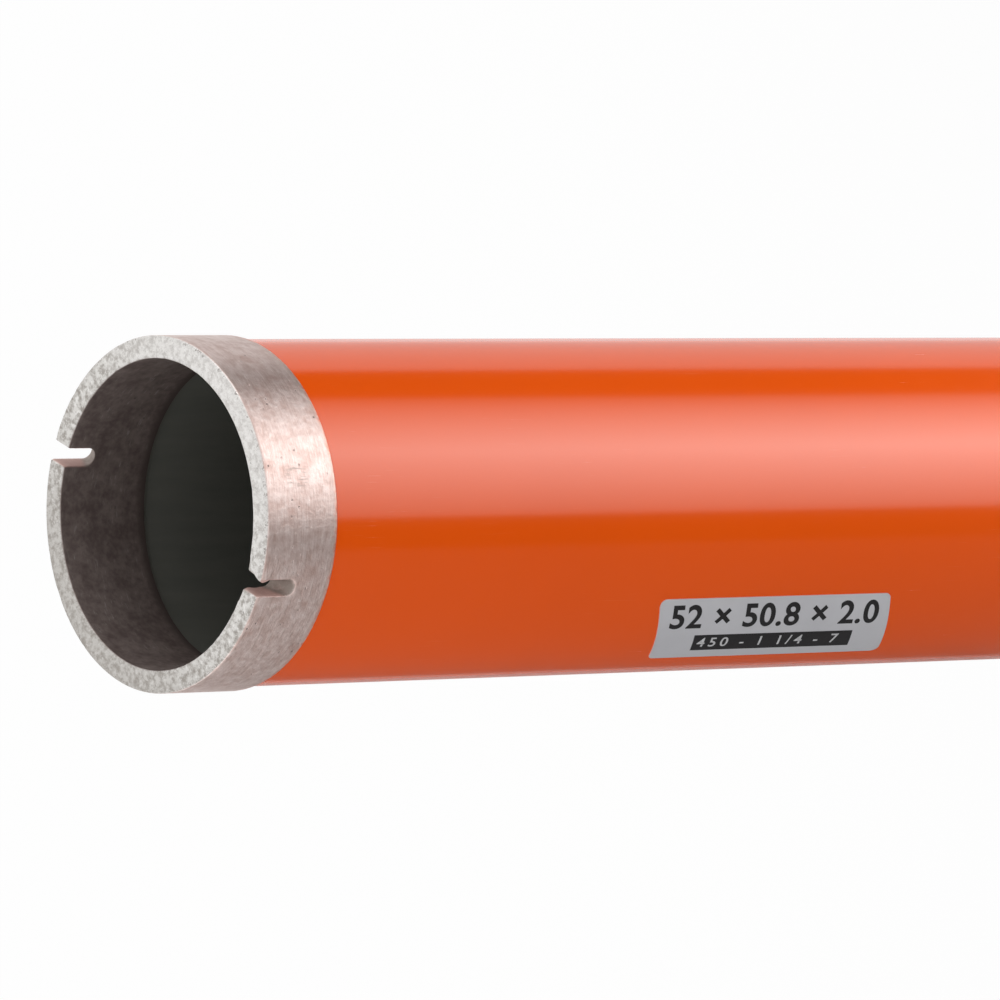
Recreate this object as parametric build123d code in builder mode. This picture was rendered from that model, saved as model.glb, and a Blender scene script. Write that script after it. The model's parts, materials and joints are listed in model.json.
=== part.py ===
from build123d import *
from math import cos, radians, sin, tan
import os

# A wet diamond core bit: a slotted diamond crown brazed to a thin steel tube, and a
# threaded hub welded into the tube's other end.
#
# The bit stands on its hub. The origin is the centre of the hub's end face, +Z runs
# along the drilling axis towards the crown, and +X points at the first water slot.
# All sizes are in millimetres.

# ---- driving dimensions -------------------------------------------------------------

total_length = 450.0

# Tube: two-inch steel tube with a 2 mm wall.
tube_od = 50.8
tube_wall = 2.0

# Crown: sintered diamond ring, wider than the tube inside and out.
crown_od = 52.0
crown_wall = 3.35
crown_height = 13.5  # cutting face to the shoulder that sits on the tube's end
crown_spigot = 2.3  # centring lip that reaches down inside the tube
spigot_lead = 0.4  # chamfer that lets the lip find the tube's bore
worn_edge = 0.35  # chamfer that grinding in leaves round the cutting face

# Water slots, ground through the crown's wall from the cutting face, one after the
# other: the second is a little wider and deeper, and not quite opposite the first.
slot_angles = (0.0, 182.4)  # about +Z, in degrees
slot_widths = (2.5, 2.8)
slot_depths = (4.75, 5.4)  # at the bore
slot_bottom_rounds = (1.15, 1.3)
slot_fall = 30.0  # degrees by which a slot's floor falls towards the outside
slot_mouth_round = 0.7
slot_run_in = 1.0  # the cuts start this far inside the bore
mouth_overrun = 0.1  # lifts the mouth's rounds above the face, so that they cross it

# Hub: turned steel with a 1 1/4 inch, 7 threads per inch, female thread.
thread_minor_d = 27.82
thread_mouth_d = 33.5
thread_depth = 34.0
water_bore_d = 20.0
drill_point_angle = 118.0
collar_od = 46.0
collar_length = 28.0
shoulder_length = 8.0
hub_spigot = 8.0  # length inside the tube
edge_chamfer = 1.0
weld_groove = 0.6  # each side of the V that the hub's weld runs in
collar_relief = 1.0  # slope left by the tool where the collar meets the shoulder

# Spanner flats milled into the collar.
flats_across = 41.0
flats_bottom = 6.0
flats_width = 18.0

# Foil size label, a slanted strip wrapped round the tube.
label_length = 47.0
label_height = 13.6  # measured round the tube
label_slant = 6.4  # how far its lower edge is shifted along the tube
label_corner = 1.6
label_thickness = 0.12
label_from_face = 105.6  # cutting face to the label's middle
label_angle = -24.6  # about +Z, from the first slot, in degrees

# ---- worked out from them -----------------------------------------------------------

tube_r = tube_od / 2
tube_bore_r = tube_r - tube_wall
crown_r = crown_od / 2
crown_bore_r = crown_r - crown_wall
crown_bevel = crown_r - tube_r
crown_seat = total_length - crown_height
hub_seat = collar_length + shoulder_length
hub_top = hub_seat + hub_spigot
thread_r = thread_minor_d / 2
mouth_r = thread_mouth_d / 2
water_bore_r = water_bore_d / 2
collar_r = collar_od / 2
drill_point = (thread_r - water_bore_r) / tan(radians(drill_point_angle / 2))


def at_height(height):
    """A filter that keeps the vertices of a sketch that lie at one height."""
    return lambda vertex: abs(vertex.Y - height) < 0.01


# ---- crown ring ---------------------------------------------------------------------

with BuildPart() as crown_ring:
    with BuildSketch(Plane.XZ) as crown_section:
        with BuildLine():
            Polyline(
                (crown_bore_r, crown_seat - crown_spigot),
                (tube_bore_r - spigot_lead, crown_seat - crown_spigot),
                (tube_bore_r, crown_seat - crown_spigot + spigot_lead),
                (tube_bore_r, crown_seat),
                (tube_r, crown_seat),
                (crown_r, crown_seat + crown_bevel),
                (crown_r, total_length),
                (crown_bore_r, total_length),
                close=True,
            )
        make_face()
        chamfer(crown_section.vertices().filter_by(at_height(total_length)), worn_edge)
    revolve(axis=Axis.Z)

    fall = tan(radians(slot_fall))
    slots = zip(slot_angles, slot_widths, slot_depths, slot_bottom_rounds)
    for angle, width, depth, bottom_round in slots:
        half_slot = width / 2
        mouth_reach = half_slot + 2 * slot_mouth_round
        outward = Vector(1, 0, 0).rotate(Axis.Z, angle)
        slot_plane = Plane(
            origin=outward * (crown_bore_r - slot_run_in) + Vector(0, 0, total_length),
            x_dir=outward.rotate(Axis.Z, 90),
            z_dir=outward,
        )
        with BuildSketch(slot_plane) as mouth:
            with BuildLine():
                Polyline(
                    (-mouth_reach, slot_mouth_round),
                    (-mouth_reach, mouth_overrun),
                    (-half_slot, mouth_overrun),
                    (-half_slot, -2 * slot_mouth_round),
                    (half_slot, -2 * slot_mouth_round),
                    (half_slot, mouth_overrun),
                    (mouth_reach, mouth_overrun),
                    (mouth_reach, slot_mouth_round),
                    close=True,
                )
            make_face()
            mouth_corners = mouth.vertices().filter_by(at_height(mouth_overrun))
            fillet(mouth_corners.sort_by(Axis.X)[1:3], slot_mouth_round)
        extrude(amount=crown_r, mode=Mode.SUBTRACT)

        floor = slot_run_in * fall - depth
        with BuildSketch(slot_plane) as slot:
            with Locations((0, floor)):
                Rectangle(width, 2 * crown_height, align=(Align.CENTER, Align.MIN))
            fillet(slot.vertices().filter_by(at_height(floor)), bottom_round)
        extrude(amount=crown_r, dir=outward - Vector(0, 0, fall), mode=Mode.SUBTRACT)

crown_ring.part.label = "crown_ring"

# ---- core tube ----------------------------------------------------------------------

with BuildPart() as core_tube:
    with BuildSketch(Plane.XY.offset(hub_seat)):
        Circle(tube_r)
        Circle(tube_bore_r, mode=Mode.SUBTRACT)
    extrude(amount=crown_seat - hub_seat)
    hub_end = core_tube.faces().sort_by(Axis.Z)[0]
    chamfer(hub_end.edges().sort_by(SortBy.RADIUS)[-1], weld_groove)

core_tube.part.label = "core_tube"

# ---- connector hub ------------------------------------------------------------------

with BuildPart() as connector_hub:
    with BuildSketch(Plane.XZ) as hub_section:
        with BuildLine():
            Polyline(
                (mouth_r, 0),
                (thread_r, mouth_r - thread_r),
                (thread_r, thread_depth),
                (water_bore_r, thread_depth + drill_point),
                (water_bore_r, hub_top),
                (tube_bore_r - edge_chamfer, hub_top),
                (tube_bore_r, hub_top - edge_chamfer),
                (tube_bore_r, hub_seat),
                (tube_r - weld_groove, hub_seat),
                (tube_r, hub_seat - weld_groove),
                (tube_r, collar_length + edge_chamfer),
                (tube_r - edge_chamfer, collar_length),
                (collar_r, collar_length),
                (collar_r, edge_chamfer),
                (collar_r - edge_chamfer, 0),
                close=True,
            )
        make_face()
        shoulder_corners = hub_section.vertices().filter_by(at_height(collar_length))
        chamfer(shoulder_corners.sort_by(Axis.X)[0], collar_relief)
    revolve(axis=Axis.Z)

    # Each flat is a pocket as deep as the collar stands proud of it.
    pocket = (collar_od - flats_across) / 2
    for side in (1, -1):
        flat_plane = Plane(
            origin=(0, side * flats_across / 2, flats_bottom + flats_width / 2),
            x_dir=(side, 0, 0),
            z_dir=(0, side, 0),
        )
        with BuildSketch(flat_plane):
            Rectangle(collar_od, flats_width)
        extrude(amount=2 * pocket, mode=Mode.SUBTRACT)

connector_hub.part.label = "connector_hub"

# ---- size label ---------------------------------------------------------------------

label_r = tube_r + label_thickness
half_angle = label_height / 2 / tube_r  # radians
label_turn = radians(label_angle)
label_plane = Plane(
    origin=(0, 0, total_length - label_from_face),
    x_dir=(0, 0, -1),
    z_dir=(cos(label_turn), sin(label_turn), 0),
)

with BuildPart() as size_label:
    with BuildSketch(label_plane) as label_outline:
        rise = label_r * sin(half_angle)
        half_length = label_length / 2
        shift = label_slant / 2
        with BuildLine():
            Polyline(
                (-half_length - shift, rise),
                (half_length - shift, rise),
                (half_length + shift, -rise),
                (-half_length + shift, -rise),
                close=True,
            )
        make_face()
        fillet(label_outline.vertices(), label_corner)
    extrude(amount=tube_od)
    with BuildSketch(Plane.XY.offset(total_length - label_from_face - label_length)):
        Circle(label_r)
        Circle(tube_r, mode=Mode.SUBTRACT)
    extrude(amount=2 * label_length, mode=Mode.INTERSECT)

size_label.part.label = "size_label"

# ---- export -------------------------------------------------------------------------

os.makedirs("parts", exist_ok=True)
for piece in (crown_ring, core_tube, connector_hub, size_label):
    export_step(piece.part, f"parts/{piece.part.label}.step")
    print(piece.part.label, round(piece.part.volume, 1), "mm3")
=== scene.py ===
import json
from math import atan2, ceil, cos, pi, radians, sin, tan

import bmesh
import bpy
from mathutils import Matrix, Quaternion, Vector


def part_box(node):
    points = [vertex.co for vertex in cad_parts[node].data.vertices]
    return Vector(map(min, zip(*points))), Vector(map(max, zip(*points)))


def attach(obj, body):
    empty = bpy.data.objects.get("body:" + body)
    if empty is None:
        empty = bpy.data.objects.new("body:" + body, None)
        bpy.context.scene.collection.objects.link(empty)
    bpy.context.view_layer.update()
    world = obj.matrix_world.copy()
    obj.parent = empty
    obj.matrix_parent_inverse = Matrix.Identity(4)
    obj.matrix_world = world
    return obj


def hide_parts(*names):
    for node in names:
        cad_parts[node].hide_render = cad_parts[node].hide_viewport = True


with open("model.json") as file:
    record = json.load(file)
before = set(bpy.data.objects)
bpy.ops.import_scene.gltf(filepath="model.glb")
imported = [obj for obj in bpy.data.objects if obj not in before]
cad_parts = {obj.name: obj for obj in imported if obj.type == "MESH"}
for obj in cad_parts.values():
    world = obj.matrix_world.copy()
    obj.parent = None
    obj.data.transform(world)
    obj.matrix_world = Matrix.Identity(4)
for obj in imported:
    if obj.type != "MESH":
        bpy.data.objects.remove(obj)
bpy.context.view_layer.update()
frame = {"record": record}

# %% [markdown]
# # A wet diamond core bit
# A core bit is a thin steel tube with a diamond crown on one end and a threaded hub on
# the other. Water runs down inside it, the crown grinds a ring out of the concrete, and
# the core stays in the tube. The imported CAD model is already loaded, and every piece
# below is built over one of its solids, in the same frame: the hub's end face is at
# z = 0, the crown is on top, and +X points at the first water slot.

mm = 0.001
tiny = 1e-6  # metres within which two places count as one

crown_low, crown_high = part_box("crown_ring")
tube_low, tube_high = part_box("core_tube")
_, hub_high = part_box("connector_hub")
label_low, label_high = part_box("size_label")
mounts = {mount["name"]: mount for mount in frame["record"]["mounts"]}

total_length = crown_high.z
crown_r = crown_high.x
crown_bore_r = mounts["crown_bore"]["dims"]["r_mm"] * mm
crown_seat = tube_high.z
hub_seat = tube_low.z
tube_r = tube_high.x
tube_wall = 2.0 * mm
tube_bore_r = tube_r - tube_wall
thread_minor_r = mounts["hub_thread"]["dims"]["r_mm"] * mm
print("length", round(total_length / mm, 1), "crown", round(2 * crown_r / mm, 1), "mm")

# %% [markdown]
# ## Camera
# A long lens a little over a metre away keeps the tube's sides nearly parallel. The
# camera looks down on the crown from the side and is rolled a quarter turn, so that the
# upright bit lies across the picture. A place on the picture is easiest to set from the
# camera's own right and up, so they are read back from its rotation.

# %% Camera
camera_bearing = radians(24.7)
camera_height = radians(40.45)
camera_roll = radians(-91.06)
camera_distance = 1207.3 * mm
camera_lens = 299.8
sensor_width = 36.0
picture_shift = Vector((50.1, 2.1)) * mm

camera_data = bpy.data.cameras.new("camera")
camera_data.lens = camera_lens
camera_data.sensor_width = sensor_width
camera = bpy.data.objects.new("camera", camera_data)
bpy.context.scene.collection.objects.link(camera)
bpy.context.scene.camera = camera

backward = Vector((
    cos(camera_bearing) * cos(camera_height),
    sin(camera_bearing) * cos(camera_height),
    sin(camera_height),
))
turned = (-backward).to_track_quat("-Z", "Y") @ Quaternion((0, 0, 1), camera_roll)
picture_right = turned @ Vector((1, 0, 0))
picture_up = turned @ Vector((0, 1, 0))
crown_face = Vector((0, 0, total_length))
camera.rotation_mode = "QUATERNION"
camera.rotation_quaternion = turned
camera.location = (
    crown_face
    + backward * camera_distance
    + picture_right * picture_shift.x
    + picture_up * picture_shift.y
)
bpy.context.scene.view_settings.view_transform = "Standard"
print("camera at", [round(x, 3) for x in camera.location])

# %% [markdown]
# ## Writing a finish as sums
# A material in Blender is a graph of nodes. Its arithmetic is hard to read as a list of
# nodes and links, so a small class wraps a socket: adding or multiplying two of them
# adds the Math node that does it. Every other node comes from one method, which sets the
# node's own choices first and then fills its sockets with numbers or links.

# %% Sockets that can be added and multiplied
class Wire:
    """One socket's value in a finish, for use in ordinary sums."""

    def __init__(self, finish, socket):
        self.finish = finish
        self.socket = socket

    def maths(self, operation, *values):
        sockets = dict(enumerate(values))
        return self.finish.node("ShaderNodeMath", {"operation": operation}, sockets)

    def __add__(self, other):
        return self.maths("ADD", self, other)

    def __radd__(self, other):
        return self.maths("ADD", other, self)

    def __sub__(self, other):
        return self.maths("SUBTRACT", self, other)

    def __rsub__(self, other):
        return self.maths("SUBTRACT", other, self)

    def __mul__(self, other):
        return self.maths("MULTIPLY", self, other)

    def __rmul__(self, other):
        return self.maths("MULTIPLY", other, self)

    def __pow__(self, other):
        return self.maths("POWER", self, other)

    def clamp(self):
        return self.maths("MINIMUM", self.maths("MAXIMUM", self, 0.0), 1.0)

    def rise(self, start, end):
        """0 before start, 1 after end, and smooth between them."""
        settings = {"interpolation_type": "SMOOTHSTEP"}
        sockets = {"Value": self, "From Min": start, "From Max": end}
        return self.finish.node("ShaderNodeMapRange", settings, sockets)


print("sockets can be used in sums")

# %% Finishes and their nodes
class Finish:
    """A material, with the nodes that make up its surface."""

    def __init__(self, name, **constants):
        self.material = bpy.data.materials.new(name)
        self.material.use_nodes = True
        self.tree = self.material.node_tree
        self.surface = self.tree.nodes["Principled BSDF"]
        for socket, value in constants.items():
            self.feed(self.surface.inputs[socket.replace("_", " ")], value)

    def feed(self, socket, value):
        """Links a wire to a socket or sets its value. A colour is given as three numbers."""
        if isinstance(value, Wire):
            self.tree.links.new(value.socket, socket)
        elif socket.type == "RGBA":
            socket.default_value = (*value, 1)
        else:
            socket.default_value = value

    def node(self, kind, settings=None, sockets=None, output=0):
        """A node of that kind, its settings set and its sockets fed, as a Wire."""
        made = self.tree.nodes.new(kind)
        for name, value in (settings or {}).items():
            setattr(made, name, value)
        for name, value in (sockets or {}).items():
            self.feed(made.inputs[name], value)
        return Wire(self, made.outputs[output])

    def mix(self, first, second, share):
        """A colour between two others. Mix keeps its colours in sockets 6, 7 and 2."""
        settings = {"data_type": "RGBA"}
        return self.node("ShaderNodeMix", settings, {0: share, 6: first, 7: second}, 2)

    def place(self):
        """Object coordinates, in millimetres."""
        metres = self.node("ShaderNodeTexCoord", output="Object")
        settings = {"operation": "SCALE"}
        return self.node("ShaderNodeVectorMath", settings, {0: metres, "Scale": 1 / mm})

    def stretched(self, vector, across_axis, along_axis, tilt=0):
        """The same place, scaled across and along the bit, and tilted by some degrees."""
        tilted = (radians(tilt), radians(tilt) / 2, 0)
        scale = (across_axis, across_axis, along_axis)
        turned = self.node("ShaderNodeMapping", {}, {"Vector": vector, "Rotation": tilted})
        return self.node("ShaderNodeMapping", {}, {"Vector": turned, "Scale": scale})

    def noise(self, vector, scale, detail=2.0, roughness=0.5):
        sockets = {"Vector": vector, "Scale": scale, "Detail": detail, "Roughness": roughness}
        return self.node("ShaderNodeTexNoise", {}, sockets)

    def cells(self, vector, scale):
        sockets = {"Vector": vector, "Scale": scale}
        return self.node("ShaderNodeTexVoronoi", {}, sockets)

    def measure(self, operation, vector, other):
        """One number from two vectors."""
        settings = {"operation": operation}
        return self.node("ShaderNodeVectorMath", settings, {0: vector, 1: other}, "Value")

    def along(self, vector, direction):
        """How far a place lies along a direction."""
        return self.measure("DOT_PRODUCT", vector, direction)

    def distance(self, vector, point):
        """How far a place lies from a point."""
        return self.measure("DISTANCE", vector, point)

    def axes(self, vector):
        """Distance from the bit's axis, and height, both in millimetres."""
        x, y, z = (
            self.node("ShaderNodeSeparateXYZ", {}, {0: vector}, name) for name in "XYZ"
        )
        return (x * x + y * y) ** 0.5, z

    def relief(self, height, depth):
        """Bends the light on the surface as if it stood up by depth where height is 1."""
        sockets = {"Height": height, "Distance": depth}
        self.feed(self.surface.inputs["Normal"], self.node("ShaderNodeBump", {}, sockets))

    def paint(self, **sockets):
        for name, value in sockets.items():
            self.feed(self.surface.inputs[name.replace("_", " ")], value)


print("finishes can be written as sums")

# %% [markdown]
# ## Picking parts of a mesh
# By hand, a face is picked with a click. A script has no mouse, so it picks what passes a
# test on its place, such as every face past a bearing. An operator acts on all that is
# picked, so everything else is let go of first.

# %% Selecting by place
def middle(part):
    """The middle of a vertex, edge or face in edit mode."""
    corners = getattr(part, "verts", None) or [part]
    return sum((corner.co for corner in corners), Vector()) / len(corners)


def pick(kind, test):
    """In edit mode, selects the verts, edges or faces that pass a test, and counts them."""
    mode = {"verts": "VERT", "edges": "EDGE", "faces": "FACE"}[kind]
    bpy.ops.mesh.select_mode(type=mode)
    bpy.ops.mesh.select_all(action="DESELECT")
    mesh = bmesh.from_edit_mesh(bpy.context.object.data)
    found = [part for part in getattr(mesh, kind) if test(part)]
    for part in found:
        part.select_set(True)
    mesh.select_flush_mode()
    bmesh.update_edit_mesh(bpy.context.object.data)
    return len(found)


def only(piece):
    """Leaves one object selected and active."""
    bpy.ops.object.select_all(action="DESELECT")
    piece.select_set(True)
    bpy.context.view_layer.objects.active = piece


def bearing_of(point):
    """Degrees round the bit's axis from the first slot."""
    return atan2(point.y, point.x) * 180 / pi


print("parts of a mesh can be picked by place")

# %% [markdown]
# ## Studio
# Glossy orange paint needs something to mirror. Standing upright and seen from above, the
# tube mirrors what stands low around it, so two curved softboxes stand there: a wide one
# whose light fades from its middle, which also lights the paint, and a weaker one behind.
# Dark card between them gives the paint the deep stripes that show its shape. Two weak
# round lamps lift the shaded sides, and a white room fills in the rest. The camera sees
# none of the panels, only the pale floor and the room.

# %% Softboxes and dark cards
panel_r = 280 * mm
panel_low = 15 * mm
softbox_high = 262 * mm
tall_card_high = 330 * mm
panel_steps = 180
card_black = 0.02


def card_finish(name, grey):
    """Dull card."""
    finish = Finish(name, Base_Color=(grey, grey, grey), Roughness=1.0)
    finish.paint(Specular_IOR_Level=0.0)
    return finish


def softbox_finish(name, glow):
    """Black card that glows inwards, as brightly as its bearing and height say."""
    finish = card_finish(name, card_black)
    place = finish.node("ShaderNodeTexCoord", output="Object")
    x, y, z = (finish.node("ShaderNodeSeparateXYZ", {}, {0: place}, n) for n in "XYZ")
    bearing = finish.node("ShaderNodeMath", {"operation": "ARCTAN2"}, {0: y, 1: x})
    behind = finish.node("ShaderNodeNewGeometry", output="Backfacing")
    finish.paint(Emission_Color=glow(bearing * (180 / pi), z) * (1 - behind))
    finish.paint(Emission_Strength=1.0)
    return finish


def panel(name, first, last, finish, panel_high):
    """A curved wall round the bit from one bearing to another, in degrees."""
    bpy.ops.object.select_all(action="DESELECT")
    centre = (0, 0, (panel_low + panel_high) / 2)
    bpy.ops.mesh.primitive_cylinder_add(
        vertices=panel_steps,
        radius=panel_r,
        depth=panel_high - panel_low,
        end_fill_type="NOTHING",
        location=centre,
    )
    wall = bpy.context.object
    wall.name = name
    bpy.ops.object.transform_apply()
    bpy.ops.object.mode_set(mode="EDIT")
    width = (last - first) % 360
    pick("faces", lambda face: (bearing_of(middle(face)) - first) % 360 > width)
    bpy.ops.mesh.delete(type="FACE")
    bpy.ops.mesh.select_all(action="SELECT")
    bpy.ops.mesh.flip_normals()
    bpy.ops.object.mode_set(mode="OBJECT")
    wall.data.materials.append(finish.material)
    wall.visible_camera = False


print("panels stand", round(panel_r / mm), "mm from the bit's axis")

# %% Light and dark round the bit
key_first = 20  # where each panel starts and ends, in degrees round the bit
key_last = 102
rim_first = 127
rim_last = 195
front_first = -122
key_peak = 62.7  # the key light's brightest bearing
key_fade_up = 62  # degrees over which it rises from nothing to its peak
key_fade_down = 44
key_strength = 4.05
key_loss = 4.6  # by which it weakens with each metre of height
rim_strength = 0.64
rim_edge_gain = 0.3


def key_glow(bearing, height):
    """Brightest near its middle, fading to both sides, and stronger lower down."""
    falling = 1 - (bearing - key_peak) * (1 / key_fade_down)
    rising = 1 - (key_peak - bearing) * (1 / key_fade_up)
    return falling.maths("MINIMUM", falling, rising) * (key_strength - height * key_loss)


def rim_glow(bearing, height):
    """Even, and brighter past 170 degrees, where it is mirrored at the tube's edge."""
    edge = bearing.rise(170, 180) + (1 - bearing.rise(-180, -160))
    return rim_strength + rim_edge_gain * edge


key_finish = softbox_finish("key_light", key_glow)
rim_finish = softbox_finish("rim_light", rim_glow)
black_card = card_finish("black_card", card_black)
grey_card = card_finish("grey_card", 0.18)
light_card = card_finish("light_card", 0.6)
panel("key_softbox", key_first, key_last, key_finish, softbox_high)
panel("rim_softbox", rim_first, rim_last, rim_finish, softbox_high)
panel("card_beside_key", 0, key_first, black_card, tall_card_high)
panel("card_between_softboxes", key_last, rim_first, black_card, tall_card_high)
panel("card_in_front", front_first, 0, grey_card, softbox_high)
panel("card_behind", rim_last - 360, front_first, light_card, softbox_high)
print("softboxes from", key_first, "to", key_last, "and", rim_first, "to", rim_last)

# %% Two round lamps
lamp_reach = 1.1  # metres from the bit's axis
lamp_size = 0.7
lamp_aim = Vector((0, 0, 0.3))


def soft_lamp(name, bearing, height, energy):
    """A round lamp beside the bit, turned towards it."""
    outward = Vector((cos(radians(bearing)), sin(radians(bearing)), 0))
    place = outward * lamp_reach + Vector((0, 0, height))
    bpy.ops.object.select_all(action="DESELECT")
    bpy.ops.object.light_add(type="AREA", location=place)
    lamp = bpy.context.object
    lamp.name = name
    lamp.data.shape = "DISK"
    lamp.data.size = lamp_size
    lamp.data.energy = energy
    lamp.rotation_mode = "QUATERNION"
    lamp.rotation_quaternion = (lamp_aim - place).to_track_quat("-Z", "Y")


soft_lamp("side_lamp", bearing=-75, height=0.45, energy=1.8)
soft_lamp("back_lamp", bearing=108, height=0.65, energy=2.3)
print("two lamps", lamp_reach, "m from the bit")

# %% Floor and room
pure_white = (1, 1, 1)
room_fill = 0.88  # the room's light on the bit, under the white that the camera sees
floor_size = 24.0
floor_grey = (0.86, 0.86, 0.86)
floor_whiteness = 0.95


def seen_or_mirrored(node):
    """1 for a ray from the camera, or one that a glossy or clear surface sent on."""
    rays = [node("ShaderNodeLightPath", output=f"Is {kind} Ray")
            for kind in ("Camera", "Glossy", "Transmission")]
    return (rays[0] + rays[1] + rays[2]).clamp()


class RoomFinish(Finish):
    """The same node sums, for the world's own tree."""

    def __init__(self, world):
        world.use_nodes = True
        self.tree = world.node_tree


world = bpy.data.worlds.new("white_room")
bpy.context.scene.world = world
room = RoomFinish(world)
fill = room.node("ShaderNodeBackground", {}, {"Color": pure_white, "Strength": room_fill})
white = room.node("ShaderNodeBackground", {}, {"Color": pure_white, "Strength": 1.0})
share = seen_or_mirrored(room.node)
room_look = room.node("ShaderNodeMixShader", {}, {0: share, 1: fill, 2: white})
room.feed(room.tree.nodes["World Output"].inputs["Surface"], room_look)

bpy.ops.mesh.primitive_plane_add(size=floor_size, location=(0, 0, 0))
floor = bpy.context.object
floor.name = "floor"
floor_finish = Finish("pale_floor", Base_Color=floor_grey, Roughness=0.9)
plain = floor_finish.node("ShaderNodeEmission", {}, {"Color": pure_white, "Strength": 1.0})
lit = Wire(floor_finish, floor_finish.surface.outputs[0])
share = seen_or_mirrored(floor_finish.node) * floor_whiteness
floor_look = floor_finish.node("ShaderNodeMixShader", {}, {0: share, 1: lit, 2: plain})
floor_finish.feed(floor_finish.tree.nodes["Material Output"].inputs["Surface"], floor_look)
floor.data.materials.append(floor_finish.material)
print("floor and room are white to the camera")

# %% [markdown]
# ## Turning a profile
# The crown and the hub are turned parts, so they are made the way a lathe makes them:
# draw half of the section, then turn it round the axis. The section is drawn from one
# vertex, extruded from point to point, and its corners are bevelled where the real part
# has rounds. Halving its long edges first gives the turned skin even, nearly square
# faces, fine enough for wear to be pressed into them later.

# %% Drawing a section and turning it
def draw_section(name, points):
    """A closed outline of (radius, height) points, extruded from a single vertex."""
    bpy.ops.object.select_all(action="DESELECT")
    corners = [Vector((radius, 0, height)) for radius, height in points]
    bpy.ops.mesh.primitive_plane_add(size=mm, location=corners[0])
    piece = bpy.context.object
    piece.name = name
    bpy.ops.object.transform_apply()
    bpy.ops.object.mode_set(mode="EDIT")
    bpy.ops.mesh.select_mode(type="VERT")
    bpy.ops.mesh.merge(type="CENTER")
    for start, end in zip(corners, corners[1:]):
        bpy.ops.mesh.extrude_region_move(TRANSFORM_OT_translate={"value": end - start})
    bpy.ops.mesh.select_all(action="SELECT")
    bpy.ops.mesh.edge_face_add()
    return piece


def round_corner(radius, height, size, segments=4):
    """Rounds one corner of the section that is being drawn."""
    corner = Vector((radius, 0, height))
    pick("verts", lambda vert: (vert.co - corner).length < tiny)
    bpy.ops.mesh.bevel(offset=size, segments=segments, affect="VERTICES")


def halve_edges_over(longest):
    """Cuts every longer edge in two until none is longer than that."""
    while pick("edges", lambda edge: edge.calc_length() > longest):
        bpy.ops.mesh.subdivide(number_cuts=1)


def leave_outline():
    """Takes the section's face away and leaves its edges, for them to be swept."""
    bpy.ops.mesh.select_all(action="SELECT")
    bpy.ops.mesh.delete(type="ONLY_FACE")


def close_mesh():
    """Turns every face outwards and leaves edit mode."""
    bpy.ops.mesh.select_all(action="SELECT")
    bpy.ops.mesh.normals_make_consistent(inside=False)
    bpy.ops.object.mode_set(mode="OBJECT")


def turn_section(steps):
    """Turns the section's outline all the way round the axis and closes its seam."""
    leave_outline()
    bpy.ops.mesh.select_all(action="SELECT")
    bpy.ops.mesh.spin(steps=steps, angle=2 * pi, center=(0, 0, 0), axis=(0, 0, 1))
    bpy.ops.mesh.select_all(action="SELECT")
    bpy.ops.mesh.remove_doubles(threshold=tiny)
    close_mesh()


print("sections can be drawn and turned")

# %% Finishing a mesh
def apply_modifiers(piece):
    """Makes a piece's modifiers part of its mesh."""
    only(piece)
    for name in [modifier.name for modifier in piece.modifiers]:
        bpy.ops.object.modifier_apply(modifier=name)


def cut_away(piece, cutter):
    """Takes the cutter's shape out of a piece, and removes the cutter."""
    cut = piece.modifiers.new("cut", "BOOLEAN")
    cut.operation = "DIFFERENCE"
    cut.solver = "EXACT"
    cut.object = cutter
    apply_modifiers(piece)
    bpy.data.objects.remove(cutter)


def finish_piece(piece, material, angle=30):
    """Smooth shading below that angle, and the finish."""
    only(piece)
    bpy.ops.object.shade_smooth_by_angle(angle=radians(angle))
    piece.data.materials.clear()
    piece.data.materials.append(material)
    triangles = sum(len(face.vertices) - 2 for face in piece.data.polygons)
    print(piece.name, "has", triangles, "triangles")


print("pieces can be cut and finished")

# %% [markdown]
# ## Crown
# The crown is metal powder and diamond pressed and sintered into a ring. It is a little
# wider than the tube inside and out, so that the tube runs free in the hole, and a lip
# at its back centres it in the tube's end. Two water slots cross its wall. Its sides are
# ground round, and its face is rough: grit stands out of it and some has been torn out.

# %% Crown section
spigot = crown_seat - crown_low.z
crown_bevel = crown_r - tube_r
worn_round = 0.35 * mm
spigot_lead = 0.4 * mm
crown_steps = 480
crown_grid = 0.5 * mm  # size of the skin's faces, small enough to press wear into

crown_ring = draw_section("crown_ring_look", [
    (crown_bore_r, crown_seat - spigot),
    (tube_bore_r - spigot_lead, crown_seat - spigot),
    (tube_bore_r, crown_seat - spigot + spigot_lead),
    (tube_bore_r, crown_seat),
    (tube_r, crown_seat),
    (crown_r, crown_seat + crown_bevel),
    (crown_r, total_length),
    (crown_bore_r, total_length),
])
round_corner(crown_r, total_length, worn_round)
round_corner(crown_bore_r, total_length, worn_round)
halve_edges_over(crown_grid)
turn_section(crown_steps)
print("crown skin", len(crown_ring.data.polygons), "faces")

# %% Water slots
class Slot:
    """A water slot: where it is, how wide, how deep at the bore, and its floor's rounds."""

    def __init__(self, bearing, width, depth, bottom_round):
        self.bearing = radians(bearing)
        self.width = width
        self.depth = depth
        self.bottom_round = bottom_round
        self.outward = Vector((cos(self.bearing), sin(self.bearing), 0))
        self.across = Vector((-self.outward.y, self.outward.x, 0))


slots = (
    Slot(0.0, width=2.5 * mm, depth=4.75 * mm, bottom_round=1.15 * mm),
    Slot(182.4, width=2.8 * mm, depth=5.4 * mm, bottom_round=1.3 * mm),
)
slot_fall = radians(30)  # by which a slot's floor falls towards the outside
slot_mouth = 0.7 * mm
print("slots are", [round(slot.width / mm, 1) for slot in slots], "mm wide")

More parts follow.
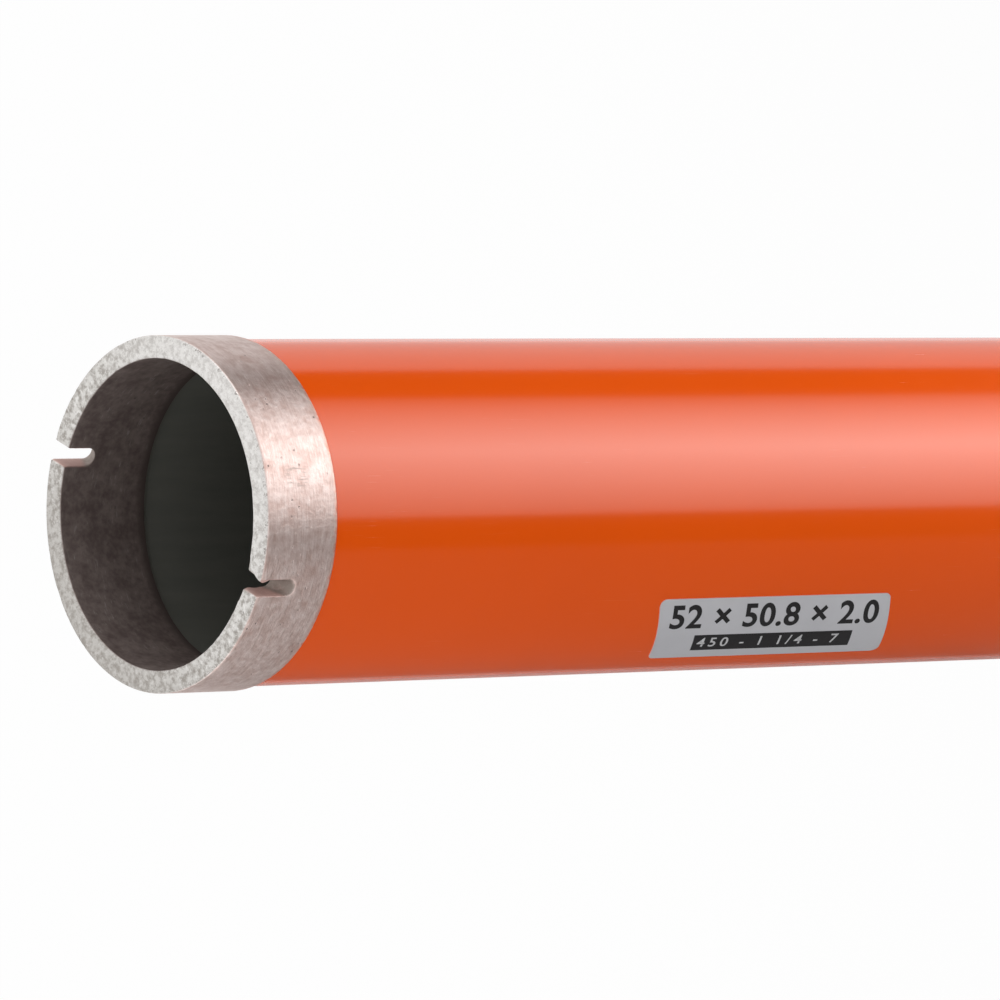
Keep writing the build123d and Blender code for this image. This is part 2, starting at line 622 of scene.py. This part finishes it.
# %% Cutters for the slots
cutter_height = 15 * mm
cutter_overrun = 1.0 * mm  # by which the cutters reach past the crown's wall
mouth_overrun = 0.1 * mm  # and above its face


def box_in_place(name, low, high):
    """A box between two corners, left in edit mode."""
    bpy.ops.object.select_all(action="DESELECT")
    low, high = Vector(low), Vector(high)
    bpy.ops.mesh.primitive_cube_add(size=1, location=(low + high) / 2)
    box = bpy.context.object
    box.name = name
    box.scale = high - low
    bpy.ops.object.transform_apply()
    bpy.ops.object.mode_set(mode="EDIT")
    return box


def pick_outward_edges(width, height):
    """Picks a cutter's edges that run outwards at one height, beside the slot's walls."""
    def fits(edge):
        ends = [vert.co for vert in edge.verts]
        beside = all(abs(abs(end.y) - width / 2) < tiny for end in ends)
        level = all(abs(end.z - height) < tiny for end in ends)
        return beside and level and abs(ends[0].x - ends[1].x) > mm
    pick("edges", fits)


def floor_cutter(slot):
    """Cuts the walls and the sloping, rounded floor."""
    inner = crown_bore_r - cutter_overrun
    outer = crown_r + cutter_overrun
    half_width = slot.width / 2
    bottom = total_length - slot.depth
    low = (inner, -half_width, bottom)
    cutter = box_in_place("slot_cutter", low, (outer, half_width, bottom + cutter_height))
    pick_outward_edges(slot.width, bottom)
    bpy.ops.mesh.bevel(offset=slot.bottom_round, segments=8, affect="EDGES")
    for end in (inner, outer):
        pick("verts", lambda vert: abs(vert.co.x - end) < tiny)
        fall = (end - crown_bore_r) * tan(slot_fall)
        bpy.ops.transform.translate(value=(0, 0, -fall))
    return cutter


def mouth_cutter(slot):
    """Cuts the small rounds where the walls come out at the cutting face."""
    half_width = slot.width / 2
    mouth = total_length + mouth_overrun
    low = (crown_bore_r - cutter_overrun, -half_width, total_length - 2 * slot_mouth)
    cutter = box_in_place("mouth_cutter", low, (crown_r + cutter_overrun, half_width, mouth))
    pick("faces", lambda face: face.normal.z > 0.9)
    bpy.ops.mesh.extrude_region_move(TRANSFORM_OT_translate={"value": (0, 0, 0)})
    flare = (slot.width + 4 * slot_mouth) / slot.width
    bpy.ops.transform.resize(value=(1, flare, 1), center_override=(0, 0, mouth))
    bpy.ops.mesh.extrude_region_move(TRANSFORM_OT_translate={"value": (0, 0, slot_mouth)})
    pick_outward_edges(slot.width, mouth)
    bpy.ops.mesh.bevel(offset=slot_mouth, segments=6, affect="EDGES")
    return cutter


for slot in slots:
    for make_cutter in (floor_cutter, mouth_cutter):
        cutter = make_cutter(slot)
        halve_edges_over(crown_grid)
        close_mesh()
        cutter.rotation_euler.z = slot.bearing
        only(cutter)
        bpy.ops.object.transform_apply()
        cut_away(crown_ring, cutter)
print("slots cut, crown has", len(crown_ring.data.polygons), "faces")

# %% [markdown]
# ## Wear on the crown
# Both slots are ground by hand after sintering, so their edges are soft, and one lip is
# pushed a little into its slot. Smoothing the mesh round a slot softens every edge
# there. The ring's own edges are chipped: a Displace modifier with a cloud texture
# presses dents into them. The texture is clamped and the modifier's middle is 1, so it
# never raises anything.

# %% Soft slot edges
soft_beside = 0.9 * mm  # how far past a slot's walls its edges are softened
soft_below = 3.2 * mm  # how far below its floor, at the bore
inner_corner_in = 0.2 * mm  # into the wall from the bore
inner_corner_out = 0.5 * mm  # past the slot's wall
inner_corner_size = 1.6 * mm
inner_corner_depth = 3.0 * mm
lip_size = 0.7 * mm
lip_push = 0.38 * mm
lip_reach = 1.4 * mm  # how far the push is felt

only(crown_ring)
bpy.ops.object.mode_set(mode="EDIT")
for slot in slots:
    lowest = total_length - slot.depth - soft_below
    pick("verts", lambda vert: vert.co.z > lowest and vert.co.dot(slot.outward) > 0
         and abs(vert.co.dot(slot.across)) < slot.width / 2 + soft_beside)
    bpy.ops.mesh.vertices_smooth(factor=0.5, repeat=4)

first_half_width = slots[0].width / 2
for side in (1, -1):
    corner = Vector((
        crown_bore_r + inner_corner_in,
        side * (first_half_width + inner_corner_out),
    ))
    pick("verts", lambda vert: (vert.co.xy - corner).length < inner_corner_size
         and vert.co.z > total_length - inner_corner_depth)
    bpy.ops.mesh.vertices_smooth(factor=0.5, repeat=12)

lip = Vector((crown_r, first_half_width, total_length))
pick("verts", lambda vert: (vert.co - lip).length < lip_size)
bpy.ops.transform.translate(
    value=(0, -lip_push, 0),
    use_proportional_edit=True,
    proportional_edit_falloff="SMOOTH",
    proportional_size=lip_reach,
)
bpy.ops.object.mode_set(mode="OBJECT")
print("slot edges softened, one lip pushed in by", round(lip_push / mm, 2), "mm")

# %% Chipped edges
edge_band = 0.45 * mm
face_band = 0.05 * mm
chip_depth = 0.11 * mm
dent_depth = 0.06 * mm


def press_in(name, chosen, texture_size, depth, contrast):
    """Presses a cloud texture into the chosen vertices, along their normals."""
    group = crown_ring.vertex_groups.new(name=name)
    verts = [vert.index for vert in crown_ring.data.vertices if chosen(vert.co)]
    group.add(verts, 1.0, "REPLACE")
    texture = bpy.data.textures.new(name, "CLOUDS")
    texture.noise_scale = texture_size
    texture.noise_depth = 2
    texture.contrast = contrast
    texture.intensity = 1.75  # pale, so that only its darkest clouds press in
    texture.use_clamp = True
    dents = crown_ring.modifiers.new(name, "DISPLACE")
    dents.texture = texture
    dents.texture_coords = "LOCAL"
    dents.vertex_group = name
    dents.mid_level = 1.0
    dents.strength = depth
    apply_modifiers(crown_ring)


def at_face_edge(place):
    radius = place.xy.length
    beside = radius > crown_r - edge_band or radius < crown_bore_r + edge_band
    return beside and place.z > total_length - edge_band


def on_face(place):
    return place.z > total_length - face_band


press_in("edge_chips", at_face_edge, 1.6 * mm, depth=chip_depth, contrast=3.0)
press_in("face_dents", on_face, 1.9 * mm, depth=dent_depth, contrast=1.6)
print("edges chipped by up to", round(chip_depth / mm, 2), "mm")

# %% [markdown]
# ## Sintered metal
# Close up the crown is not one colour. Its side is pinkish bronze, ground round and round
# until it shines, its face is grey grit, its bore is dark and smeared, and dried slurry
# lies in the slots. An image texture would show its pixels close up, so each look is a
# few colours mixed by noise, stretched where the metal was brushed, and the looks change
# over by height, by distance from the axis and by distance from a slot.

# %% Patterns that the crown's looks share
crown_top = total_length / mm  # finishes measure in millimetres
crown_outer = crown_r / mm
crown_inner = crown_bore_r / mm
crown_back = crown_seat / mm
bevel_edge = crown_back + crown_bevel / mm


class CrownPatterns:
    """Where a place is on the crown, and the noises that its looks share."""

    def __init__(self, finish):
        self.place = finish.place()
        self.radius, self.height = finish.axes(self.place)
        self.face = self.height.rise(crown_top - 0.4, crown_top - 0.1)
        self.inside = 1 - self.radius.rise(crown_inner + 0.15, crown_inner + 0.5)
        streaks = [
            finish.noise(finish.stretched(self.place, across, along, tilt), 1.0, 3.0, 0.6)
            for across, along, tilt in ((0.30, 5.0, 0), (0.55, 3.2, 5), (0.45, 4.0, -4))
        ]
        self.ground = streaks[0] * 0.45 + streaks[1] * 0.3 + streaks[2] * 0.25
        self.brushed = streaks[1]
        self.patch = finish.noise(self.place, 0.22, 3.0, 0.6)
        self.blotch = finish.noise(self.place, 0.65, 4.0, 0.6)
        self.grain = finish.noise(self.place, 1.3, 3.0, 0.55)
        self.fine = finish.noise(self.place, 4.0, 2.0, 0.6)


print("crown patterns run up to", round(crown_top, 1), "mm")

# %% Ground side
scuff_bearing = radians(36)
scuff_from_face = 6.0
scuff_at = (
    cos(scuff_bearing) * crown_outer,
    sin(scuff_bearing) * crown_outer,
    crown_top - scuff_from_face,
)


def ground_side(finish, at):
    """Cloudy bronze, painted glints, a painted highlight on the back bevel, one scuff and a
    mist of the tube's paint.
    """
    shade = (at.ground * 0.5 + at.blotch * 0.5).rise(0.34, 0.64)
    colour = finish.mix((0.57, 0.41, 0.365), (0.79, 0.65, 0.61), shade)
    colour = finish.mix(colour, (0.50, 0.30, 0.25), at.patch.rise(0.54, 0.72) * 0.4)
    # painted glints: near-white specks that stand in for sparkle on the ground metal
    glints = at.fine.rise(0.62, 0.7) * at.blotch.rise(0.5, 0.6)
    colour = finish.mix(colour, (0.95, 0.90, 0.87), glints * 0.5)
    # painted highlight: a lighter band along the back bevel, where the chamfer catches the
    # light
    painted_bevel_highlight = at.height.rise(bevel_edge - 0.5, bevel_edge - 0.1)
    painted_bevel_highlight = painted_bevel_highlight * (1 - at.height.rise(bevel_edge + 0.1, bevel_edge + 0.35))
    colour = finish.mix(colour, (0.90, 0.80, 0.70), painted_bevel_highlight * 0.5)
    scratches = finish.noise(finish.stretched(at.place, 3.0, 0.35), 1.0, 2.0, 0.6)
    near_scuff = 1 - finish.distance(at.place, scuff_at).rise(1.0, 2.6)
    scuffed = scratches.rise(0.5, 0.58) * near_scuff
    colour = finish.mix(colour, (0.40, 0.32, 0.29), scuffed * 0.85)
    ragged_height = at.height - at.blotch * 1.6 - at.grain * 0.5
    mist = 1 - ragged_height.rise(bevel_edge - 1.5, bevel_edge - 0.4)
    return finish.mix(colour, (0.62, 0.13, 0.04), mist * 0.8)


print("scuff at", [round(size, 1) for size in scuff_at])

# %% Rough face and dark bore
# the bearing where the painted light on the crown's face is brightest
lit_side_bearing = radians(70)
lit_side_direction = (cos(lit_side_bearing), sin(lit_side_bearing), 0)


def gritty_face(finish, at):
    """Grey grit with painted light on one side of the ring and painted shade on the other,
    and dark flecks at its outer rim.
    """
    mottle = finish.noise(at.place, 0.8, 4.0, 0.68)
    colour = finish.mix((0.36, 0.33, 0.30), (0.74, 0.72, 0.69), mottle.rise(0.36, 0.6))
    colour = finish.mix(colour, (0.90, 0.88, 0.86), at.grain.rise(0.54, 0.66) * 0.6)
    painted_light_side = finish.along(at.place, lit_side_direction)
    # painted light towards one side of the face, and painted shade towards the other
    colour = finish.mix(colour, (0.92, 0.90, 0.88), painted_light_side.rise(0, crown_outer) * 0.5)
    colour = finish.mix(colour, (0.36, 0.33, 0.30), (1 - painted_light_side.rise(-crown_outer, 0)) * 0.45)
    colour = finish.mix(colour, (0.30, 0.27, 0.25), at.fine.rise(0.6, 0.72) * 0.45)
    rim = at.radius.rise(crown_outer - 0.9, crown_outer - 0.2) * mottle.rise(0.53, 0.6)
    return finish.mix(colour, (0.17, 0.13, 0.11), rim * at.fine.rise(0.4, 0.55) * 0.7)


def dark_bore(finish, at):
    """Dark, smeared metal with a few brushed streaks, darkest where the crown ends."""
    smudge = (at.grain * 0.2 + at.patch * 0.5 + at.blotch * 0.3).rise(0.32, 0.68)
    colour = finish.mix((0.115, 0.083, 0.077), (0.235, 0.188, 0.172), smudge)
    bright = at.brushed.rise(0.58, 0.7) * at.patch.rise(0.48, 0.6)
    colour = finish.mix(colour, (0.36, 0.33, 0.31), bright * 0.6)
    back = 1 - at.height.rise(crown_back - 2.1, crown_back - 0.3)
    return finish.mix(colour, (0.09, 0.066, 0.06), back)


print("face is palest at", round(lit_side_bearing * 180 / pi), "degrees")

# %% Slots and the whole crown
def in_slot(finish, at, slot):
    """1 in a slot's hollow, and 0 on its floor rising to 1 on its walls."""
    across = finish.along(at.place, slot.across)
    ahead = finish.along(at.place, slot.outward)
    round_height = crown_top - (slot.depth - slot.width / 2) / mm
    floor = (crown_inner - ahead) * tan(slot_fall) + round_height
    below = across.maths("MAXIMUM", floor - at.height, 0)
    from_middle = (across * across + below * below) ** 0.5 + at.grain * 0.3
    half_width = slot.width / mm / 2
    hollow = 1 - from_middle.rise(half_width + 0.12, half_width + 0.4)
    walls = (at.height - floor).rise(-0.6, 0.8)
    return hollow * ahead.rise(0, 5) * (1 - at.face), walls


def sintered_crown():
    """The crown's looks, each in its own place."""
    finish = Finish("sintered_crown")
    at = CrownPatterns(finish)
    pits = 1 - finish.cells(at.place, 0.75).rise(0.07, 0.2)
    holes = pits * at.patch.rise(0.5, 0.62) * at.fine.rise(0.4, 0.55)
    colour = finish.mix(ground_side(finish, at), gritty_face(finish, at), at.face)
    colour = finish.mix(colour, dark_bore(finish, at), at.inside * (1 - at.face))
    colour = finish.mix(colour, (0.09, 0.07, 0.065), holes * 0.7)
    in_slots = 0
    for slot in slots:
        hollow, walls = in_slot(finish, at, slot)
        slurry = finish.mix((0.27, 0.23, 0.20), (0.52, 0.33, 0.29), walls)
        colour = finish.mix(colour, slurry, hollow * 0.9)
        in_slots = in_slots + hollow
    outside = (1 - at.face) * (1 - at.inside) * (1 - in_slots)
    finish.paint(
        Base_Color=colour,
        Metallic=0.35 + outside * 0.55,
        Roughness=0.52 - outside * 0.2 + at.ground * 0.1,
    )
    brushing = outside * (at.ground * 0.4 + at.blotch * 0.3)
    grit = at.grain * 0.3 + at.fine * 0.3 * at.face - holes * 0.5
    finish.relief(brushing + grit, 0.1 * mm)
    return finish.material


finish_piece(crown_ring, sintered_crown(), 40)
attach(crown_ring, "root")
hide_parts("crown_ring")

# %% [markdown]
# ## Tube
# The tube is plain drawn steel with a 2 mm wall. A cylinder without its ends is given
# its wall inwards by Solidify, and the hub end's outer edge gets the small slope that
# the weld runs into. Only the outside is painted, so one finish holds both looks and
# changes between them by the distance from the axis.

# %% Tube
tube_steps = 288
weld_groove = 0.6 * mm

bpy.ops.object.select_all(action="DESELECT")
bpy.ops.mesh.primitive_cylinder_add(
    vertices=tube_steps,
    radius=tube_r,
    depth=crown_seat - hub_seat,
    end_fill_type="NOTHING",
    location=(0, 0, (crown_seat + hub_seat) / 2),
)
core_tube = bpy.context.object
core_tube.name = "core_tube_look"
bpy.ops.object.transform_apply()
wall = core_tube.modifiers.new("wall", "SOLIDIFY")
wall.thickness = tube_wall
wall.offset = -1
apply_modifiers(core_tube)


def outer_hub_rim(edge):
    """An edge that runs round the tube's outside, at its hub end."""
    ends = [vert.co for vert in edge.verts]
    low = all(abs(end.z - hub_seat) < tiny for end in ends)
    return low and all(end.xy.length > tube_r - tube_wall / 2 for end in ends)


bpy.ops.object.mode_set(mode="EDIT")
pick("edges", outer_hub_rim)
bpy.ops.mesh.bevel(offset=weld_groove, segments=1, affect="EDGES")
bpy.ops.object.mode_set(mode="OBJECT")
print("tube wall", round(tube_wall / mm, 1), "mm")

# %% Orange paint over steel
paint_edge = tube_bore_r / mm + 0.9  # inside the wall, where no look shows


def orange_paint():
    """Baked gloss paint with a trace of orange peel and a few fine rubs."""
    finish = Finish("orange_paint", IOR=1.65)
    place = finish.place()
    radius, _ = finish.axes(place)
    painted = radius.rise(paint_edge, paint_edge + 0.4)
    peel = finish.noise(place, 0.55, 2.0)
    cloud = finish.noise(place, 0.03, 3.0)
    hairs = finish.noise(finish.stretched(place, 4.0, 0.12), 1.0, 2.0, 0.7)
    rubs = hairs.rise(0.66, 0.74) * finish.noise(place, 0.05, 2.0).rise(0.5, 0.7)
    scale = finish.noise(finish.stretched(place, 0.4, 0.06), 1.0, 4.0, 0.6)
    orange = finish.mix((0.74, 0.083, 0.0022), (0.80, 0.092, 0.003), cloud)
    orange = finish.mix(orange, (0.84, 0.20, 0.07), rubs * 0.4)
    steel = finish.mix((0.19, 0.195, 0.175), (0.26, 0.26, 0.23), scale)
    finish.paint(
        Base_Color=finish.mix(steel, orange, painted),
        Roughness=0.55 - painted * (0.40 - rubs * 0.15),
        Metallic=(1 - painted) * 0.5,
    )
    finish.relief(peel * 0.12 + (1 - painted) * scale * 2.0 - rubs * 0.1, 0.012 * mm)
    return finish.material


orange_gloss = orange_paint()
finish_piece(core_tube, orange_gloss)
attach(core_tube, "root")
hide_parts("core_tube")

# %% [markdown]
# ## Hub
# The hub joins the bit to the drill. It is turned from bar: a collar with two milled
# spanner flats, a shoulder as wide as the tube, and a spigot inside the tube. Its bore
# has a seven-to-the-inch thread, and a smaller water bore runs on through. A thread is a
# groove that follows a helix, so its section is drawn once and the Screw modifier sweeps
# it upwards as it turns; the result is then cut out of the bore.

# %% Hub section
collar_r = 23.0 * mm
collar_length = 28.0 * mm
thread_mouth_r = 16.75 * mm
thread_depth = 34.0 * mm
water_bore_r = 10.0 * mm
drill_half_angle = radians(59)
drill_point = (thread_minor_r - water_bore_r) / tan(drill_half_angle)
hub_top = hub_high.z
shoulder_r = tube_r
edge_chamfer = 1.0 * mm
break_size = 0.25 * mm
hub_steps = 180
hub_grid = 4.0 * mm

connector_hub = draw_section("connector_hub_look", [
    (thread_mouth_r, 0),
    (thread_minor_r, thread_mouth_r - thread_minor_r),
    (thread_minor_r, thread_depth),
    (water_bore_r, thread_depth + drill_point),
    (water_bore_r, hub_top),
    (tube_bore_r - edge_chamfer, hub_top),
    (tube_bore_r, hub_top - edge_chamfer),
    (tube_bore_r, hub_seat),
    (shoulder_r - weld_groove, hub_seat),
    (shoulder_r, hub_seat - weld_groove),
    (shoulder_r, collar_length + edge_chamfer),
    (shoulder_r - edge_chamfer, collar_length),
    (collar_r + edge_chamfer, collar_length),
    (collar_r, collar_length - edge_chamfer),
    (collar_r, edge_chamfer),
    (collar_r - edge_chamfer, 0),
])
for radius, height in (
    (collar_r, edge_chamfer),
    (collar_r - edge_chamfer, 0),
    (shoulder_r, collar_length + edge_chamfer),
    (shoulder_r - edge_chamfer, collar_length),
    (thread_mouth_r, 0),
):
    round_corner(radius, height, break_size, segments=3)
halve_edges_over(hub_grid)
turn_section(hub_steps)
print("hub skin", len(connector_hub.data.polygons), "faces")

# %% Spanner flats
flats_across = 41.0 * mm
flats_bottom = 6.0 * mm
flats_width = 18.0 * mm

for side in (1, -1):
    edges = sorted((side * flats_across / 2, side * 1.5 * collar_r))
    low = (-collar_r, edges[0], flats_bottom)
    high = (collar_r, edges[1], flats_bottom + flats_width)
    flat_cutter = box_in_place("flat_cutter", low, high)
    bpy.ops.object.mode_set(mode="OBJECT")
    cut_away(connector_hub, flat_cutter)
print("flats are", round(flats_across / mm), "mm across")

# %% Thread
threads_per_inch = 7
pitch = 25.4 * mm / threads_per_inch
thread_major_r = 15.875 * mm
thread_start = -2.5 * mm
thread_turns = 9
groove_mouth = 0.75 * pitch
groove_root = 0.125 * pitch
clear_of_bore = 0.3 * mm  # the cutter starts this far inside the bore
groove_reach = 0.4 * pitch  # half the groove's height at most

thread_cutter = draw_section("thread_cutter", [
    (thread_minor_r - clear_of_bore, thread_start - groove_mouth / 2),
    (thread_minor_r, thread_start - groove_mouth / 2),
    (thread_major_r, thread_start - groove_root / 2),
    (thread_major_r, thread_start + groove_root / 2),
    (thread_minor_r, thread_start + groove_mouth / 2),
    (thread_minor_r - clear_of_bore, thread_start + groove_mouth / 2),
])
leave_outline()
bpy.ops.object.mode_set(mode="OBJECT")
helix = thread_cutter.modifiers.new("helix", "SCREW")
helix.axis = "Z"
helix.angle = 2 * pi
helix.screw_offset = pitch
helix.iterations = thread_turns
helix.steps = hub_steps
helix.render_steps = hub_steps
helix.use_merge_vertices = True
apply_modifiers(thread_cutter)
bpy.ops.object.mode_set(mode="EDIT")
for end in (thread_start, thread_start + thread_turns * pitch):
    pick("verts", lambda vert: abs(vert.co.y) < tiny < vert.co.x
         and abs(vert.co.z - end) < groove_reach)
    bpy.ops.mesh.edge_face_add()
close_mesh()
cut_away(connector_hub, thread_cutter)
print("thread pitch", round(pitch / mm, 3), "mm, hub has", len(connector_hub.data.polygons))

# %% [markdown]
# ## Turned steel
# The hub is clamped by its collar while it is painted with the tube, so the collar stays
# bare and the paint ends just above it. A lathe's tool leaves fine rings, which are
# noise squeezed along the axis, and the paint's edge wanders with a slow noise.

# %% Turned steel with a painted shoulder
shoulder_orange = (0.776, 0.087, 0.0025)


def turned_steel():
    """Bright steel with fine tool rings, and paint that ends unevenly at the collar."""
    finish = Finish("turned_steel")
    place = finish.place()
    radius, height = finish.axes(place)
    edge = finish.noise(place, 0.3, 1.0)
    rings = finish.noise(finish.stretched(place, 0.04, 3.0), 1.0, 3.0, 0.6)
    stain = finish.noise(place, 0.12, 4.0, 0.6)
    shoulder = collar_length / mm + edge * 1.6 - 0.9
    outside = radius.rise(tube_bore_r / mm + 0.2, tube_bore_r / mm + 0.5)
    painted = outside * (height - shoulder).rise(-0.15, 0.15)
    steel = finish.mix((0.34, 0.335, 0.325), (0.46, 0.455, 0.44), rings)
    steel = finish.mix(steel, (0.22, 0.18, 0.15), stain.rise(0.5, 0.75) * 0.3)
    finish.paint(
        Base_Color=finish.mix(steel, shoulder_orange, painted),
        Metallic=1 - painted,
        Roughness=0.30 + stain * 0.12 - painted * 0.14,
    )
    finish.relief((1 - painted) * rings + painted * edge * 0.3, 0.03 * mm)
    return finish.material


finish_piece(connector_hub, turned_steel())
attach(connector_hub, "root")
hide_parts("connector_hub")

# %% [markdown]
# ## Weld
# The hub and the tube meet in a shallow groove that a weld fills, and the paint goes
# over it. A weld run is a row of small pools that froze one after the other, each over
# the edge of the last. One flattened ball is one pool: it is copied round the groove, and
# a fine Remesh melts the row into one bead.

# %% Weld bead
pool_count = 138
pool_size = Vector((0.72, 1.15, 1.55)) * mm
pool_lean = radians(-12)  # turns each pool so that the row overlaps like scales
bead_r = tube_r - 0.22 * mm
melt_grid = 0.2 * mm

bpy.ops.object.select_all(action="DESELECT")
bpy.ops.mesh.primitive_uv_sphere_add(
    segments=16, ring_count=10, radius=1, location=(bead_r, 0, hub_seat)
)
hub_weld = bpy.context.object
hub_weld.name = "hub_weld"
hub_weld.scale = pool_size
hub_weld.rotation_euler.z = pool_lean
bpy.ops.object.transform_apply()
bpy.ops.object.mode_set(mode="EDIT")
bpy.ops.mesh.select_all(action="SELECT")
bpy.ops.mesh.spin(
    steps=pool_count - 1,
    dupli=True,
    angle=2 * pi * (pool_count - 1) / pool_count,
    center=(0, 0, 0),
    axis=(0, 0, 1),
)
close_mesh()
melt = hub_weld.modifiers.new("melt", "REMESH")
melt.mode = "VOXEL"
melt.voxel_size = melt_grid
settle = hub_weld.modifiers.new("settle", "SMOOTH")
settle.iterations = 3
apply_modifiers(hub_weld)
finish_piece(hub_weld, orange_gloss, 60)
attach(hub_weld, "root")

# %% [markdown]
# ## Label
# The label is a slanted strip of silver foil, wrapped on the tube. It is cut flat, its
# corners are rounded, and it is sliced into narrow strips so that Shrinkwrap can bend it
# onto the tube before Solidify gives it its thickness. Its print is made the same way and
# lies a hair higher: the bit's diameters and wall in plain numbers, and its length and
# thread in pale numbers on a dark bar.

# %% Cutting flat shapes and wrapping them
label_length = 47.0 * mm
label_height = 13.6 * mm
label_slant = 6.4 * mm
label_corners = {1: 1.6 * mm, -1: 0.8 * mm}  # at the sharp corners, and at the blunt ones
foil_thickness = 0.12 * mm
label_bearing = radians(-24.6)
label_middle = (label_low.z + label_high.z) / 2
slant = label_slant / label_height
flat_at = tube_r + 5 * mm  # flat shapes are drawn this far out
slice_height = 0.5 * mm


def flat_strip(name, length, height, centre=(0, 0)):
    """A slanted strip in front of the tube: along it downwards, and across it."""
    bpy.ops.object.select_all(action="DESELECT")
    bpy.ops.mesh.primitive_plane_add(size=1, rotation=(0, pi / 2, 0))
    strip = bpy.context.object
    strip.name = name
    strip.scale = (length, height, 1)
    bpy.ops.object.transform_apply()
    bpy.ops.object.mode_set(mode="EDIT")
    bpy.ops.mesh.select_all(action="SELECT")
    along, across = centre
    bpy.ops.transform.translate(value=(flat_at, across, label_middle - along))
    for side in (1, -1):
        pick("verts", lambda vert: (vert.co.y - across) * side > 0)
        lean = (across + side * height / 2) * slant
        bpy.ops.transform.translate(value=(0, 0, lean))
    return strip


def wrap(piece, thickness):
    """Slices a flat piece into strips, bends it onto the tube and turns it into place."""
    only(piece)
    bpy.ops.object.mode_set(mode="EDIT")
    slices = ceil(label_height / slice_height)
    for number in range(-slices // 2, slices // 2 + 1):
        bpy.ops.mesh.select_all(action="SELECT")
        bpy.ops.mesh.bisect(plane_co=(0, number * slice_height, 0), plane_no=(0, 1, 0))
    bpy.ops.object.mode_set(mode="OBJECT")
    bend = piece.modifiers.new("bend", "SHRINKWRAP")
    bend.target = core_tube
    bend.wrap_method = "PROJECT"
    bend.use_project_x = True
    bend.use_negative_direction = True
    bend.use_positive_direction = False
    body = piece.modifiers.new("body", "SOLIDIFY")
    body.thickness = thickness
    body.offset = 1
    apply_modifiers(piece)
    piece.rotation_euler.z = label_bearing
    bpy.ops.object.transform_apply()


print("label is", round(label_length / mm), "by", round(label_height / mm, 1), "mm")

# %% Foil
near_ends = 15 * mm  # the strip's corners all lie further than this from its middle

size_label = flat_strip("size_label_look", label_length, label_height)
for kind, offset in label_corners.items():
    pick("verts", lambda vert: vert.co.y * (vert.co.z - label_middle) * kind > 0
         and abs(vert.co.z - label_middle) > near_ends)
    bpy.ops.mesh.bevel(offset=offset, segments=8, affect="VERTICES")
bpy.ops.object.mode_set(mode="OBJECT")
wrap(size_label, foil_thickness)


def silver_foil():
    """Printed silver foil: a grey with a faint sheen."""
    finish = Finish("silver_foil", Metallic=0.45)
    place = finish.place()
    grain = finish.noise(place, 3.0, 3.0)
    cloud = finish.noise(place, 0.12, 2.0)
    colour = finish.mix((0.60, 0.60, 0.63), (0.70, 0.70, 0.73), cloud)
    finish.paint(Base_Color=colour, Roughness=0.34 + grain * 0.12)
    finish.relief(grain, 0.006 * mm)
    return finish.material


finish_piece(size_label, silver_foil(), 40)
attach(size_label, "root")
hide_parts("size_label")

# %% Inks
def ink(name, colour):
    """Flat, slightly uneven printer's ink."""
    finish = Finish(name, Specular_IOR_Level=0.25)
    spots = finish.noise(finish.place(), 2.5, 3.0)
    pale = tuple(channel * 1.6 + 0.004 for channel in colour)
    finish.paint(Base_Color=finish.mix(colour, pale, spots.rise(0.5, 0.8)))
    finish.paint(Roughness=0.45 + spots * 0.2)
    return finish.material


black_ink = ink("black_ink", (0.007, 0.006, 0.007))
pale_ink = ink("pale_ink", (0.46, 0.46, 0.47))
print("inks are", black_ink.name, "and", pale_ink.name)

# %% Print on the label
ink_height = 0.012 * mm
cap_height = 0.73  # of Blender's own font, as a share of its size
number_lean = -0.40
bar_length = 32.4 * mm
bar_height = 4.0 * mm
bar_across = -2.6 * mm  # the bar's middle, below the label's


def print_on_label(piece, material, lift):
    """Wraps a flat piece of print so that it stands just proud of the foil."""
    wrap(piece, foil_thickness + lift)
    finish_piece(piece, material, 40)
    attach(piece, "root")


def flat_numbers(name, words, height, weight, spacing, centre):
    """Plain numbers in Blender's own font, leaning with the label, made into a flat mesh."""
    bpy.ops.object.select_all(action="DESELECT")
    bpy.ops.object.text_add(rotation=(0, pi / 2, 0))
    numbers = bpy.context.object
    numbers.name = name
    numbers.data.body = words
    numbers.data.size = height / cap_height
    numbers.data.offset = weight
    numbers.data.space_character = spacing
    numbers.data.shear = number_lean
    numbers.data.align_x = "CENTER"
    numbers.data.align_y = "CENTER"
    numbers.data.resolution_u = 6
    along, across = centre
    numbers.location = (flat_at, across, label_middle - along)
    bpy.ops.object.convert(target="MESH")
    bpy.ops.object.transform_apply()
    bpy.ops.object.mode_set(mode="EDIT")
    bpy.ops.mesh.select_all(action="SELECT")
    bpy.ops.mesh.remove_doubles(threshold=tiny)
    bpy.ops.object.mode_set(mode="OBJECT")
    return numbers


label_bar = flat_strip("label_bar", bar_length, bar_height, centre=(0.4 * mm, bar_across))
bpy.ops.object.mode_set(mode="OBJECT")
print_on_label(label_bar, black_ink, ink_height)

size_words = "52 \u00d7 50.8 \u00d7 2.0"
size_numbers = flat_numbers(
    "size_numbers",
    size_words,
    height=4.7 * mm,
    weight=0.14 * mm,
    spacing=1.06,
    centre=(-0.7 * mm, 3.1 * mm),
)
print_on_label(size_numbers, black_ink, ink_height)

thread_words = "450 - 1 1/4 - 7"
thread_numbers = flat_numbers(
    "thread_numbers",
    thread_words,
    height=2.4 * mm,
    weight=0.03 * mm,
    spacing=1.42,
    centre=(1.1 * mm, bar_across),
)
print_on_label(thread_numbers, pale_ink, 2 * ink_height)
print("printed", size_words, "and", thread_words)
